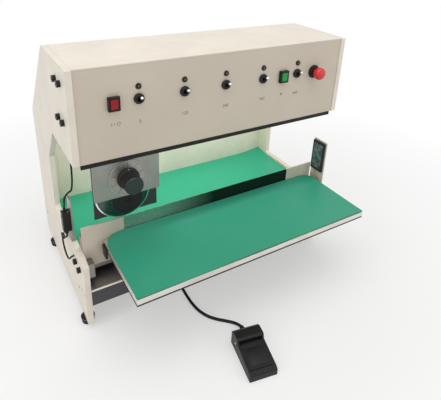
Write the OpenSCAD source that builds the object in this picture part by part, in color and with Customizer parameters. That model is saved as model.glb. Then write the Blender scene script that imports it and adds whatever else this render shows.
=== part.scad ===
// Bench-top board separator: a travelling round blade runs along a straight lower blade
// between two side plates. Controls sit on the head, a foot pedal lies in front.
// Working frame: x from the outside of the left plate, y back from the head's front,
// z up from the lower edge of the side plates. seat() moves it all onto the floor.

/* [Body] */
// Width over the two side plates
body_w = 650; // [620:1:700]
// Thickness of each side plate
plate_t = 12; // [10:1:14]
// Height of the side plates
body_h = 575; // [560:1:600]
// Depth of the side plates
body_d = 405; // [400:1:420]
// Depth of the flat top, before the cover slopes down
top_d = 188; // [150:1:200]
// Height at which the sloping cover meets the back
knee_h = 362; // [340:1:380]
// Height of the rubber feet
foot_h = 14; // [10:1:20]

/* [Throat] */
// Height of the head's lower edge
head_z = 391; // [388:1:396]
// Depth of the throat cut in the side plates
throat_y = 244; // [230:1:260]
// Top of the lower arms of the side plates
arm_z = 161; // [158:1:164]
// Front edge of the lower arms
leg_y = 5; // [2:1:8]

/* [Carriage] */
// Left edge of the carriage plate at rest
carriage_x = 36; // [30:1:40]
// Width of the carriage plate
carriage_w = 137; // [130:1:140]
// Lower edge of the carriage plate
carriage_z = 297; // [294:1:300]
// Diameter of the round blade
blade_d = 120; // [110:1:124]
// Height of the round blade's axis
blade_z = 284; // [283:1:290]
// Diameter of the height dial
dial_d = 78; // [60:1:80]

/* [Lower blade and tray] */
// Height of the lower blade's cutting edge
edge_z = 222; // [218:0.5:223]
// Left and right ends of the lower blade
blade_x0 = 104; // [95:1:110]
blade_x1 = 554; // [540:1:560]
// Left and right ends of the front tray
tray_x0 = 56; // [50:1:70]
tray_x1 = 640; // [620:1:644]
// Front edge of the tray, in front of the head
tray_y0 = -148; // [-170:1:-120]
// Top of the tray board
tray_z = 179; // [175:1:182]

/* [Panel] */
// Height of the row of toggle switches
toggle_z = 506; // [500:1:512]
// Height of the row of signal lamps
lamp_z = 530; // [526:1:536]
// First toggle switch, and the pitch of the row
toggle_x = 130; // [125:1:135]
toggle_pitch = 95.25; // [90:0.25:97]

/* [Pedal] */
// Width, length and height of the foot pedal
pedal_w = 60; // [54:1:70]
pedal_l = 100; // [95:1:120]
pedal_h = 38; // [34:1:44]
// Turn of the pedal on the floor, in degrees
pedal_turn = -11; // [-20:1:0]

/* [Hidden] */
$fn = 48;
eps = 0.01;

// Middle of the box round the machine and its pedal, put over the origin
sensor_x0 = -12;
foot_d = 30;
gland_y1 = body_d + 29;
pedal_at = [264, -276];
mid_x = (sensor_x0 + body_w + (foot_d - plate_t) / 2) / 2;
mid_y = (gland_y1 + pedal_at[1] + pedal_w / 2 * sin(pedal_turn)) / 2;

in_x0 = plate_t + 0.2;
in_x1 = body_w - plate_t - 0.2;
in_w = in_x1 - in_x0;

cream = [0.90, 0.87, 0.79];
beige = [0.74, 0.70, 0.62];
steel = [0.72, 0.73, 0.74];
dark_steel = [0.25, 0.26, 0.28];
black = [0.08, 0.08, 0.09];
mat_green = [0.16, 0.60, 0.46];

// Moves a module from the working frame to the floor, origin under the middle
module seat() {
    translate([-mid_x, -mid_y, foot_h]) children();
}

// Extrudes an outline drawn in (y, z) from x0 over a length t
module yz_slab(x0, t, points) {
    translate([x0, 0, 0]) rotate([90, 0, 90]) linear_extrude(t) polygon(points);
}

// Box given by its two corners
module block(a, b) {
    translate(a) cube([b[0] - a[0], b[1] - a[1], b[2] - a[2]]);
}

// Round bar along x, and along y
module bar_x(p, d, l) {
    translate(p) rotate([0, 90, 0]) cylinder(d = d, h = l);
}
module bar_y(p, d, l) {
    translate(p) rotate([-90, 0, 0]) cylinder(d = d, h = l);
}

// Points of an arc of radius r that rounds the corner b between a and c
function unit(v) = v / norm(v);
function rounded(a, b, c, r, n = 5) =
    let (u = unit(a - b), v = unit(c - b),
        half = acos(u * v) / 2,
        p = b + u * r / tan(half),
        q = b + v * r / tan(half),
        o = b + unit(u + v) * r / sin(half),
        a0 = atan2(p[1] - o[1], p[0] - o[0]),
        a1 = atan2(q[1] - o[1], q[0] - o[0]),
        sweep = (a1 - a0) - 360 * round((a1 - a0) / 360))
    [for (i = [0 : n]) o + r * [cos(a0 + sweep * i / n), sin(a0 + sweep * i / n)]];

// Closed outline whose corners [y, z, radius] are rounded where the radius is above 0
function outline(corners) =
    let (n = len(corners))
    [for (i = [0 : n - 1])
        let (a = corners[(i + n - 1) % n], b = corners[i], c = corners[(i + 1) % n])
        each b[2] > 0
            ? rounded([a[0], a[1]], [b[0], b[1]], [c[0], c[1]], b[2])
            : [[b[0], b[1]]]];

// ---------------------------------------------------------------- side plates
slant_y = 170;
slant_z = 300;
chamfer_y = 33;
side_outline = outline([
    [leg_y, 0, 2], [body_d, 0, 2], [body_d, knee_h, 4], [top_d, body_h, 4],
    [0, body_h, 2], [0, head_z, 2], [slant_y, head_z, 4], [throat_y, slant_z, 6],
    [throat_y, arm_z, 8], [chamfer_y, arm_z, 3], [leg_y, arm_z - 7, 2]]);

// Cap screws that hold the cross members: [y, z]
cap_rows = [[41, 541], [74, 541], [41, 466], [74, 466], [35, 130], [65, 130]];
// Small flush screws of the front beam: [y, z]
flush_rows = [[15, 76], [32, 76]];
cap_d = 13;
cap_h = 7;
cap_shank = 8;
flush_d = 8;
flush_shank = 4;
thread_l = 12;

module side_plate(x0) {
    difference() {
        yz_slab(x0, plate_t, side_outline);
        for (s = cap_rows) bar_x([x0 - 1, s[0], s[1]], cap_shank + 0.4, plate_t + 2);
        for (s = flush_rows) bar_x([x0 - 1, s[0], s[1]], flush_d + 0.4, plate_t + 2);
    }
}
module left_side_plate() {
    seat() color(cream) difference() {
        side_plate(0);
        bar_x([-1, 84, 132], 6, plate_t + 2);
    }
}
module right_side_plate() {
    seat() color(cream) side_plate(body_w - plate_t);
}

// Screw holes at both ends of a cross member, for the rows named by index
module end_threads(rows, d) {
    for (s = rows) {
        bar_x([plate_t - 1, s[0], s[1]], d, thread_l + 3);
        bar_x([body_w - plate_t - thread_l - 2, s[0], s[1]], d, thread_l + 3);
    }
}

module cap_screw(p, way) {
    translate(p) rotate([0, way * 90, 0]) difference() {
        union() {
            cylinder(d = cap_shank, h = plate_t + thread_l);
            translate([0, 0, -cap_h]) cylinder(d = cap_d, h = cap_h);
        }
        translate([0, 0, -cap_h - eps]) cylinder(d = 6.6, h = 4, $fn = 6);
    }
}
module flush_screw(p, way) {
    translate(p) rotate([0, way * 90, 0]) difference() {
        union() {
            translate([0, 0, 1]) cylinder(d = flush_d, h = plate_t - 1);
            translate([0, 0, plate_t - 1]) cylinder(d = flush_shank, h = thread_l);
        }
        translate([0, 0, 1 - eps]) cylinder(d = 4, h = 2.5, $fn = 6);
    }
}
module side_screws() {
    seat() color(black) {
        for (s = cap_rows) {
            cap_screw([0, s[0], s[1]], 1);
            cap_screw([body_w, s[0], s[1]], -1);
        }
        for (s = flush_rows) {
            flush_screw([0, s[0], s[1]], 1);
            flush_screw([body_w, s[0], s[1]], -1);
        }
    }
}

foot_rows = [34, 332];
module rubber_feet() {
    seat() color(black)
        for (x = [plate_t / 2, body_w - plate_t / 2], y = foot_rows)
            translate([x, y, -foot_h])
                cylinder(d1 = foot_d - 4, d2 = foot_d, h = foot_h);
}

// ---------------------------------------------------------------- head shell
sheet = 2;
panel_y = 2;
panel_t = 3;
power_x = 81;
start_x = 471;
button_z = 504;
estop_x = 562;
button_hole = [17, 21];
toggle_bush = 12;
lamp_bush = 8;
estop_bush = 22;

module panel_cut(x, z, size) {
    block([x - size[0] / 2, panel_y - 1, z - size[1] / 2],
        [x + size[0] / 2, panel_y + panel_t + 1, z + size[1] / 2]);
}
function toggle_at(i) = toggle_x + toggle_pitch * i;

module head_front_panel() {
    seat() color(beige) difference() {
        block([in_x0, panel_y, head_z + 1], [in_x1, panel_y + panel_t, body_h - sheet - 0.2]);
        panel_cut(power_x, button_z, button_hole);
        panel_cut(start_x, button_z, button_hole);
        bar_y([estop_x, panel_y - 1, button_z], estop_bush, panel_t + 2);
        for (i = [0 : 4]) {
            bar_y([toggle_at(i), panel_y - 1, toggle_z], toggle_bush, panel_t + 2);
            bar_y([toggle_at(i), panel_y - 1, lamp_z], lamp_bush, panel_t + 2);
        }
    }
}

// The cover is one bent sheet: flat top, then the slope down to the back
slope = atan2(body_h - knee_h, body_d - top_d);
bend_in = sheet * tan(slope / 2);
module head_top_cover() {
    seat() color(cream) yz_slab(in_x0, in_w, [
        [panel_y, body_h - sheet], [panel_y, body_h], [top_d, body_h],
        [body_d, knee_h], [body_d - sheet * sin(slope), knee_h - sheet * cos(slope)],
        [top_d - bend_in, body_h - sheet]]);
}

skirt_y = panel_y + panel_t;
skirt_z0 = head_z - 10;
module skirt_strip() {
    seat() color(black) block([in_x0 + 2, skirt_y, skirt_z0], [in_x1 - 2, skirt_y + 5, skirt_z0 + 22]);
}

// ---------------------------------------------------------------- cross members
tie_y0 = 26;
tie_y1 = 88;
module top_tie_bar() {
    seat() color(dark_steel) difference() {
        block([plate_t, tie_y0, 534], [body_w - plate_t, tie_y1, 548]);
        end_threads([cap_rows[0], cap_rows[1]], cap_shank);
        for (x = [60 : 65 : 600])
            translate([x, 60, 530]) cylinder(d = 30, h = 24);
    }
}

web_y0 = 40;
web_y1 = 52;
web_z0 = 396;
flange_z0 = 459;
flange_z1 = 473;
module guide_beam() {
    seat() color(dark_steel) difference() {
        yz_slab(plate_t, body_w - 2 * plate_t, [
            [web_y0, web_z0], [web_y1, web_z0], [web_y1, flange_z0], [tie_y1, flange_z0],
            [tie_y1, flange_z1], [tie_y0, flange_z1], [tie_y0, flange_z0], [web_y0, flange_z0]]);
        end_threads([cap_rows[2], cap_rows[3]], cap_shank);
    }
}

rail_w = 15;
rail_h = 10;
rail_rows = [408, 446];
module guide_rails() {
    half = rail_w / 2;
    seat() color(steel)
        for (z = rail_rows)
            translate([0, web_y0, z])
                yz_slab(plate_t + 4, body_w - 2 * plate_t - 8, [
                    [0, -half], [0, half], [-4, half], [-5.5, half - 1.5], [-7, half],
                    [-rail_h, half], [-rail_h, -half], [-7, -half], [-5.5, 1.5 - half],
                    [-4, -half]]);
}

// ---------------------------------------------------------------- rear and throat
module rear_panel() {
    vent_x = [90, 440];
    seat() color(cream) difference() {
        block([in_x0, body_d - 3, 30], [in_x1, body_d - 1, knee_h - 4]);
        for (x0 = vent_x, row = [0 : 7])
            block([x0, body_d - 4, 190 + row * 14], [x0 + 120, body_d, 195 + row * 14]);
        block([inlet_x - 14, body_d - 4, inlet_z - 12], [inlet_x + 14, body_d, inlet_z + 12]);
        bar_y([gland_x, body_d - 4, gland_z], 12.4, 5);
    }
}

back_y = 284;
floor_y0 = 100;
module throat_back_panel() {
    seat() color(cream) yz_slab(in_x0, in_w, [
        [back_y, table_z], [back_y + sheet, table_z], [back_y + sheet, head_z + 4],
        [floor_y0, head_z + 4], [floor_y0, head_z + 2], [back_y, head_z + 2]]);
}

table_z = 151;
table_t = 8;
table_y0 = 82;
mat_t = 4;
module rear_table() {
    seat() color(steel) block([in_x0, table_y0, table_z - table_t], [in_x1, back_y + sheet, table_z]);
}
module rear_mat() {
    seat() color(mat_green)
        block([in_x0 + 1, table_y0, table_z], [in_x1 - 1, back_y - 1, table_z + mat_t]);
}

// ---------------------------------------------------------------- lower blade
guard_y = 46;
guard_t = 4;
beam_y0 = guard_y + guard_t;
beam_y1 = 70;
guard_z0 = 121;
beam_rows = [cap_rows[4], cap_rows[5]];
module blade_beam() {
    lug_t = thread_l + 4;
    seat() color(dark_steel) difference() {
        union() {
            block([plate_t, beam_y0, 108], [body_w - plate_t, beam_y1, 196]);
            for (x = [plate_t, body_w - plate_t - lug_t])
                block([x, 24, 108], [x + lug_t, beam_y1 + 8, 143]);
        }
        block([plate_t - 1, guard_y - 0.3, guard_z0 - 0.3],
            [body_w - plate_t + 1, beam_y0, 200]);
        end_threads(beam_rows, cap_shank);
    }
}

module lower_blade() {
    seat() color(steel) yz_slab(blade_x0, blade_x1 - blade_x0, [
        [guard_y, 150], [beam_y0, 150], [beam_y0, edge_z - 8], [guard_y + 1, edge_z],
        [guard_y, edge_z]]);
}
module left_blade_guard() {
    seat() color(beige)
        block([in_x0, guard_y, guard_z0], [blade_x0 - 0.3, beam_y0, edge_z]);
}
module right_blade_guard() {
    seat() color(beige)
        block([blade_x1 + 0.3, guard_y, guard_z0], [in_x1, beam_y0, edge_z]);
}

// ---------------------------------------------------------------- front tray
tray_y1 = guard_y - 0.4;
tray_edge = 13;
module front_tray() {
    wall = 2;
    seat() color(steel) difference() {
        block([tray_x0, tray_y0, tray_z - tray_edge], [tray_x1, tray_y1, tray_z]);
        block([tray_x0 + wall, tray_y0 + wall, tray_z - tray_edge - 1],
            [tray_x1 - wall, tray_y1 - wall, tray_z - 3]);
    }
}

// The mat lies flat and its rear margin curls up against the guards
tray_mat_t = 3.5;
module tray_mat() {
    seat() color(mat_green) yz_slab(tray_x0 + 1, tray_x1 - tray_x0 - 2, [
        [tray_y0 + 0.5, tray_z], [16, tray_z], [32, tray_z + 3], [tray_y1 - 0.5, tray_z + 8],
        [tray_y1 - 1.5, tray_z + 11], [30, tray_z + 6.2], [14, tray_z + tray_mat_t],
        [tray_y0 + 0.5, tray_z + tray_mat_t]]);
}

shelf_z0 = 87;
shelf_t = 3;
bracket_x = [120, 345, 560];
bracket_y1 = 43;
module tray_brackets() {
    foot = shelf_z0 + shelf_t;
    under = tray_z - 3;
    seat() color(dark_steel)
        for (x = bracket_x) {
            yz_slab(x, 4, outline([
                [14, foot, 0], [bracket_y1, foot, 0], [bracket_y1, under, 0], [-120, under, 0],
                [-120, under - 16, 4], [2, under - 30, 30], [14, under - 50, 10]]));
            block([x + 4, 14, foot], [x + 24, bracket_y1, foot + 4]);
            block([x + 4, -100, under - 4], [x + 24, 40, under]);
        }
}

// ---------------------------------------------------------------- base
module base_shelf() {
    seat() color(black)
        block([in_x0, 8, shelf_z0], [in_x1, body_d - 4, shelf_z0 + shelf_t]);
}
module front_beam() {
    z0 = 50;
    seat() color(dark_steel) difference() {
        yz_slab(plate_t, body_w - 2 * plate_t, [
            [leg_y, z0], [40, z0], [40, z0 + 4], [leg_y + 4, z0 + 4], [leg_y + 4, 66],
            [40, 66], [40, shelf_z0], [leg_y, shelf_z0]]);
        block([40, 8, 60], [body_w - 40, 41, 83]);
        end_threads(flush_rows, flush_shank);
    }
}

// ---------------------------------------------------------------- light sensor
module left_sensor_bracket() {
    seat() color(steel) difference() {
        union() {
            block([1, 94, arm_z], [11, 142, arm_z + 3]);
            block([5, 94, arm_z + 3], [8, 120, 264]);
        }
        for (z = [176, 240]) {
            bar_x([0, 107, z], 4.4, 12);
            bar_x([0, 107, z + 12], 4.4, 12);
            block([0, 104.8, z], [12, 109.2, z + 12]);
        }
    }
}
module light_sensor() {
    seat() color(black) {
        difference() {
            union() {
                block([sensor_x0, 99, 186], [5, 115, 234]);
                bar_x([5, 107, 182], 4, 4);
                translate([-5, 107, 178]) cylinder(d = 8, h = 8);
            }
            bar_x([sensor_x0 - 0.5, 107, 224], 7, 1.5);
        }
    }
}
module right_sensor_bracket() {
    seat() color(beige) block([body_w, 8, 146], [body_w + 3, 54, 292]);
}
module sensor_reflector() {
    seat() color(black) difference() {
        block([body_w - 6, 11, 206], [body_w, 51, 289]);
        block([body_w - 7, 15, 212], [body_w - 5, 47, 283]);
    }
}

// ---------------------------------------------------------------- tubes and cords
function smooth(p, i, t) =
    let (n = len(p), a = p[max(i - 1, 0)], b = p[i], c = p[min(i + 1, n - 1)],
        d = p[min(i + 2, n - 1)])
    0.5 * (2 * b + (c - a) * t + (2 * a - 5 * b + 4 * c - d) * t * t
        + (3 * b - a - 3 * c + d) * t * t * t);
function curve(p, steps) = [
    for (i = [0 : len(p) - 2], k = [0 : steps - 1]) smooth(p, i, k / steps), p[len(p) - 1]];
function tangent(c, i) = unit(c[min(i + 1, len(c) - 1)] - c[max(i - 1, 0)]);
function side_of(t) = abs(t[2]) < 0.9 ? unit(cross(t, [0, 0, 1])) : unit(cross(t, [0, 1, 0]));

// Carries the ring's first direction along the curve without twist
function carried(c, i = 0, last = undef, made = []) =
    i == len(c) ? made
    : let (t = tangent(c, i),
        s = is_undef(last) ? side_of(t) : unit(last - t * (last * t)))
    carried(c, i + 1, s, concat(made, [s]));

module tube(c, r, sides) {
    dirs = carried(c);
    n = len(c);
    rings = [for (i = [0 : n - 1], k = [0 : sides - 1])
        let (t = tangent(c, i), u = dirs[i], v = cross(t, u), a = 360 * k / sides)
        c[i] + r * (cos(a) * u + sin(a) * v)];
    walls = [for (i = [0 : n - 2], k = [0 : sides - 1])
        let (a = i * sides + k, b = i * sides + (k + 1) % sides)
        each [[a, b, b + sides], [a, b + sides, a + sides]]];
    caps = [[for (k = [0 : sides - 1]) sides - 1 - k],
        [for (k = [0 : sides - 1]) (n - 1) * sides + k]];
    polyhedron(rings, concat([for (w = walls) [w[2], w[1], w[0]]],
        [for (f = caps) [for (k = [len(f) - 1 : -1 : 0]) f[k]]]));
}

// Sensor lead: down from the head to the sensor, then a loop into the side plate
lead_drop = [[20, 120, head_z + 2], [20, 121, 374], [21, 123, 350], [22, 126, 320], [21, 127, 290],
    [17, 124, 272], [8, 118, 270], [-1, 112, 264], [-4, 108, 250], [-5, 107, 242],
    [-5, 107, 234]];
lead_loop = [[-5, 107, 178], [-5, 107, 171], [-6, 110, 160], [-8, 118, 148], [-9, 122, 130], [-9, 114, 114],
    [-9, 100, 108], [-9, 88, 114], [-7, 84, 124], [-3, 84, 131], [4, 84, 132]];
module sensor_cable() {
    seat() color(black) {
        tube(curve(lead_drop, 2), 2, 8);
        tube(curve(lead_loop, 2), 2, 8);
    }
}

// ---------------------------------------------------------------- inner works
module power_supply() {
    z0 = shelf_z0 + shelf_t;
    seat() color(steel) difference() {
        block([60, 300, z0], [240, 392, z0 + 52]);
        for (i = [0 : 9])
            block([80 + i * 14, 310, z0 + 47], [86 + i * 14, 380, z0 + 53]);
    }
}
module control_board() {
    z0 = shelf_z0 + shelf_t;
    seat() color([0.10, 0.35, 0.20]) {
        block([320, 300, z0 + 10], [500, 390, z0 + 12]);
        for (x = [326, 494], y = [306, 384])
            translate([x, y, z0]) cylinder(d = 7, h = 10);
        for (i = [0 : 3])
            block([340 + i * 36, 306, z0 + 12], [364 + i * 36, 322, z0 + 28]);
        block([350, 340, z0 + 12], [390, 376, z0 + 17]);
        for (i = [0 : 2])
            translate([420 + i * 24, 362, z0 + 12]) cylinder(d = 16, h = 22);
    }
}

screw_y = 74;
screw_z = 430;
screw_d = 12;
motor_s = 42;
module drive_motor() {
    seat() color(dark_steel) difference() {
        union() {
            block([14, screw_y - motor_s / 2, screw_z - motor_s / 2],
                [60, screw_y + motor_s / 2, screw_z + motor_s / 2]);
            block([18, 56, screw_z + motor_s / 2], [56, tie_y1, flange_z0]);
            bar_x([60, screw_y, screw_z], 22, 2);
        }
        for (y = [-1, 1], z = [-1, 1])
            translate([37, screw_y + y * motor_s / 2, screw_z + z * motor_s / 2])
                rotate([45, 0, 0]) cube([60, 5, 5], center = true);
    }
}
module screw_bearings() {
    seat() color(dark_steel) difference() {
        for (x = [84, 604])
            block([x, 58, screw_z - 16], [x + 12, tie_y1, flange_z0]);
        bar_x([80, screw_y, screw_z], screw_d + 0.6, 560);
    }
}
module lead_screw() {
    seat() color(steel) difference() {
        union() {
            bar_x([63, screw_y, screw_z], 20, 18);
            bar_x([80, screw_y, screw_z], screw_d, 542);
        }
        bar_x([62, screw_y, screw_z], 5, 6);
        translate([71.5, screw_y + 8, screw_z - 12]) cube([1, 4, 24]);
    }
}

inlet_x = 574;
inlet_z = 74;
gland_x = 232;
gland_z = 50;
cord_d = 7;
module mains_inlet() {
    seat() color(black) difference() {
        union() {
            block([inlet_x - 13.7, body_d - 24, inlet_z - 11.7],
                [inlet_x + 13.7, body_d - 1, inlet_z + 11.7]);
            block([inlet_x - 25, body_d - 1, inlet_z - 14],
                [inlet_x + 25, body_d + 2, inlet_z + 14]);
        }
        block([inlet_x - 12, body_d - 16, inlet_z - 8], [inlet_x + 12, body_d + 3, inlet_z + 8]);
        for (x = [-20, 20])
            bar_y([inlet_x + x, body_d - 2, inlet_z], 3.4, 5);
    }
}
module pedal_gland() {
    seat() color(black)
        translate([gland_x, body_d - 12, gland_z]) rotate([-90, 0, 0]) {
            cylinder(d = 12, h = 12);
            translate([0, 0, 11]) cylinder(d = 20, h = 8, $fn = 6);
            translate([0, 0, 19]) cylinder(d1 = 14, d2 = 8.4, h = gland_y1 - body_d - 7);
        }
}

// ---------------------------------------------------------------- panel controls
bezel = [22, 27, 7];
key = [14, 19];
key_gap = 0.3;
module bezel_at(x) {
    difference() {
        union() {
            block([x - bezel[0] / 2, panel_y - bezel[2], button_z - bezel[1] / 2],
                [x + bezel[0] / 2, panel_y, button_z + bezel[1] / 2]);
            block([x - button_hole[0] / 2, panel_y - 1, button_z - button_hole[1] / 2],
                [x + button_hole[0] / 2, panel_y + 24, button_z + button_hole[1] / 2]);
        }
        block([x - key[0] / 2 - key_gap, panel_y - 8, button_z - key[1] / 2 - key_gap],
            [x + key[0] / 2 + key_gap, panel_y + 22, button_z + key[1] / 2 + key_gap]);
    }
}
module button_bezels() {
    seat() color(black) {
        bezel_at(power_x);
        bezel_at(start_x);
    }
}
module key_at(x) {
    seat() block([x - key[0] / 2, panel_y - 9, button_z - key[1] / 2],
        [x + key[0] / 2, panel_y + 17, button_z + key[1] / 2]);
}
module power_button() {
    color([0.75, 0.08, 0.10]) key_at(power_x);
}
module start_button() {
    color([0.10, 0.62, 0.28]) key_at(start_x);
}

module lamp_bezels() {
    seat() color(black)
        for (i = [0 : 4])
            translate([toggle_at(i), panel_y, lamp_z]) rotate([-90, 0, 0]) difference() {
                union() {
                    cylinder(d = lamp_bush, h = 12);
                    translate([0, 0, -2.5]) cylinder(d1 = 10.5, d2 = 12, h = 2.5);
                }
                translate([0, 0, -3]) cylinder(d = 6, h = 3);
            }
}

nut_d = 20;
nut_t = 4;
pivot_y = panel_y + 2;
module toggle_bodies() {
    seat() color(black)
        for (i = [0 : 4])
            translate([toggle_at(i), panel_y, toggle_z]) rotate([-90, 0, 0]) difference() {
                union() {
                    translate([0, 0, -nut_t]) cylinder(d = nut_d, h = nut_t);
                    cylinder(d = toggle_bush, h = 5);
                    translate([-7, -9, 3]) cube([14, 18, 16]);
                }
                translate([0, 0, -nut_t - 1]) cylinder(d1 = 12, d2 = 9, h = 7);
                translate([0, 0, 2 - eps]) cylinder(d = 9, h = 8);
            }
}
lever_tilt = 18;
lever_l = 19;
module toggle_lever(i) {
    seat() color(steel)
        translate([toggle_at(i), pivot_y, toggle_z])
            rotate([90 - lever_tilt, 0, 0]) {
                sphere(d = 7, $fn = 32);
                cylinder(d1 = 3, d2 = 5.4, h = lever_l);
                translate([0, 0, lever_l]) sphere(d = 5.4, $fn = 32);
            }
}
module toggle_lever_1() { toggle_lever(0); }
module toggle_lever_2() { toggle_lever(1); }
module toggle_lever_3() { toggle_lever(2); }
module toggle_lever_4() { toggle_lever(3); }
module toggle_lever_5() { toggle_lever(4); }

estop_d = 28;
module estop_collar() {
    seat() color(black) translate([estop_x, panel_y, button_z]) rotate([-90, 0, 0])
        difference() {
            union() {
                translate([0, 0, -6]) cylinder(d1 = 25, d2 = 28, h = 6);
                cylinder(d = estop_bush, h = 34);
            }
            translate([0, 0, -7]) cylinder(d = 14.6, h = 37);
        }
}
module estop_button() {
    seat() color([0.88, 0.10, 0.10])
        translate([estop_x, panel_y, button_z]) rotate([-90, 0, 0])
            rotate_extrude() polygon([
                [0, -32], [5, -31.6], [9.5, -30], [12.6, -27], [estop_d / 2, -22.5],
                [estop_d / 2, -18], [12, -15], [7, -13], [7, 22], [0, 22]]);
}

// ---------------------------------------------------------------- carriage
knob_x = 105;
knob_z = 338;
plate_y = 12;
plate_back = plate_y + 6;
head_gap = 0.4;
gib_y1 = 33;
neck_w = 48;
module carriage_plate() {
    x1 = carriage_x + carriage_w;
    seat() color(steel) difference() {
        union() {
            block([carriage_x, plate_y, carriage_z], [x1, plate_back, 458]);
            for (side = [-1, 1])
                translate([knob_x + side * (neck_w / 2 + head_gap + 4) - 4, plate_back, 300])
                    cube([8, gib_y1 - plate_back, 72]);
        }
        bar_y([knob_x, plate_y - 1, knob_z], 10.6, 8);
    }
}

block_w = 24;
block_rows = [44, 120];
module slide_blocks() {
    seat() color(steel)
        for (x = block_rows, z = rail_rows)
            difference() {
                block([x, plate_back, z - block_w / 2], [x + 44, 37.5, z + block_w / 2]);
                block([x - 1, web_y0 - rail_h - 0.3, z - rail_w / 2 - 0.3],
                    [x + 45, 38, z + rail_w / 2 + 0.3]);
            }
}

dial_t = 2.5;
module height_dial() {
    seat() color(steel) difference() {
        bar_y([knob_x, plate_y - dial_t, knob_z], dial_d, dial_t);
        bar_y([knob_x, plate_y - dial_t - 1, knob_z], 12, dial_t + 2);
    }
}

knob_d = 38;
module height_knob() {
    flutes = 18;
    skirt_back = plate_y - dial_t - 0.5;
    seat() color(black) translate([knob_x, 0, knob_z]) rotate([-90, 0, 0]) {
        difference() {
            rotate_extrude() polygon([
                [0, -27], [knob_d / 2 - 2.5, -27], [knob_d / 2, -24.5], [knob_d / 2, 2],
                [knob_d / 2 + 4, 5], [knob_d / 2 + 4, skirt_back], [0, skirt_back]]);
            for (i = [0 : flutes - 1])
                rotate([0, 0, i * 360 / flutes]) translate([knob_d / 2 + 1.2, 0, -28])
                    cylinder(d = 4, h = 29);
        }
        cylinder(d = 10, h = 29);
    }
}

bridge_z = 384;
cover_y = 58;
module blade_cover() {
    seat() color(dark_steel) union() {
        block([45, cover_y, edge_z + 4], [186, cover_y + 4, bridge_z + 6]);
        block([45, plate_back, bridge_z], [172, cover_y + 1, bridge_z + 6]);
    }
}
module screw_nut() {
    seat() color([0.72, 0.60, 0.30]) difference() {
        union() {
            block([98, 54, bridge_z + 6], [126, 62, screw_z - 16]);
            block([98, 54, screw_z - 16], [126, 90, screw_z + 16]);
        }
        bar_x([97, screw_y, screw_z], screw_d + 0.8, 30);
    }
}

arbor_x = knob_x;
arbor_d = 12;
hub_d = 64;
module arbor_block() {
    y0 = plate_back + head_gap;
    depth = gib_y1 - y0;
    seat() color(black) difference() {
        union() {
            bar_y([arbor_x, y0, blade_z], hub_d, depth);
            block([arbor_x - neck_w / 2, y0, blade_z], [arbor_x + neck_w / 2, gib_y1, 356]);
        }
        bar_y([arbor_x, y0 - 1, blade_z], arbor_d + 0.5, depth + 2);
        for (z = [-5, 5])
            bar_y([knob_x, y0 - 1, knob_z + z], 11.4, depth + 2);
        block([knob_x - 5.7, y0 - 1, knob_z - 5], [knob_x + 5.7, gib_y1 + 1, knob_z + 5]);
        for (side = [-1, 1])
            translate([arbor_x + side * 34, y0 - 1, 300 - 6])
                translate([-10 + eps, 0, 0]) cube([20, depth + 2, 84]);
    }
}

blade_y = guard_y - 0.5;
blade_t = 3;
module round_blade() {
    bevel = 6;
    seat() color(steel) translate([arbor_x, blade_y, blade_z]) rotate([-90, 0, 0])
        rotate_extrude($fn = 96) polygon([
            [arbor_d / 2, 0], [blade_d / 2 - bevel, 0], [blade_d / 2, blade_t / 2 - 0.2],
            [blade_d / 2, blade_t / 2 + 0.2], [blade_d / 2 - bevel, blade_t],
            [arbor_d / 2, blade_t]]);
}
module blade_arbor() {
    seat() color(dark_steel) translate([arbor_x, 0, blade_z]) rotate([-90, 0, 0]) {
        translate([0, 0, 20]) cylinder(d = arbor_d, h = 36);
        translate([0, 0, gib_y1 + 0.5]) cylinder(d = 36, h = blade_y - gib_y1 - 0.5);
        translate([0, 0, blade_y + blade_t]) cylinder(d = 22, h = 7, $fn = 6);
    }
}

// ---------------------------------------------------------------- foot pedal
pin_y = 78;
pin_z = 20;
cheek = 4;
lip_y = 10;
hood_y = 66;
module on_floor() {
    seat() translate([pedal_at[0], pedal_at[1], -foot_h]) rotate([0, 0, pedal_turn]) children();
}
module pedal_base() {
    half = pedal_w / 2;
    side = outline([
        [0, 0, 0], [pedal_l, 0, 0], [pedal_l, pedal_h - 6, 3], [pedal_l - 8, pedal_h, 4],
        [hood_y + 4, pedal_h, 5], [hood_y, 26, 2], [6, 18, 3], [0, 14, 3]]);
    on_floor() color(black) difference() {
        union() {
            yz_slab(-half, pedal_w, side);
            bar_y([0, pedal_l - 1, 16], 12, 9);
        }
        block([-half + cheek, lip_y, 6], [half - cheek, hood_y, pedal_h]);
        block([-half + cheek, lip_y + 20, 6], [half - cheek, pedal_l - 10, pedal_h - 5]);
        bar_x([-half - 1, pin_y, pin_z], 4.4, pedal_w + 2);
        bar_y([0, pedal_l - 11, 16], cord_d, 20);
    }
}
module pedal_treadle() {
    half = pedal_w / 2 - cheek - 0.6;
    top_front = 19.5;
    on_floor() color(black) union() {
        yz_slab(-half, 2 * half, outline([
            [lip_y + 1, top_front - 3, 0], [hood_y - 6, 20.5, 0], [hood_y + 6, 16, 0],
            [pin_y + 4, 16, 3], [pin_y + 4, 24, 3], [hood_y, 25.5, 0],
            [lip_y + 1, top_front, 1]]));
        bar_x([-pedal_w / 2 + 0.5, pin_y, pin_z], 4, pedal_w - 1);
    }
}

// ---------------------------------------------------------------- pedal cord
cord_r = cord_d / 2;
ground = cord_r + 0.1 - foot_h;
coil_at = [274, 205];
coil_turns = [42, 35, 28];
coil_out = coil_turns[0] + cord_r;
coil_in = coil_turns[2] - cord_r;
coil_h = 2 * cord_d;
lead_in = coil_at[0] - coil_turns[0];
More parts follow.
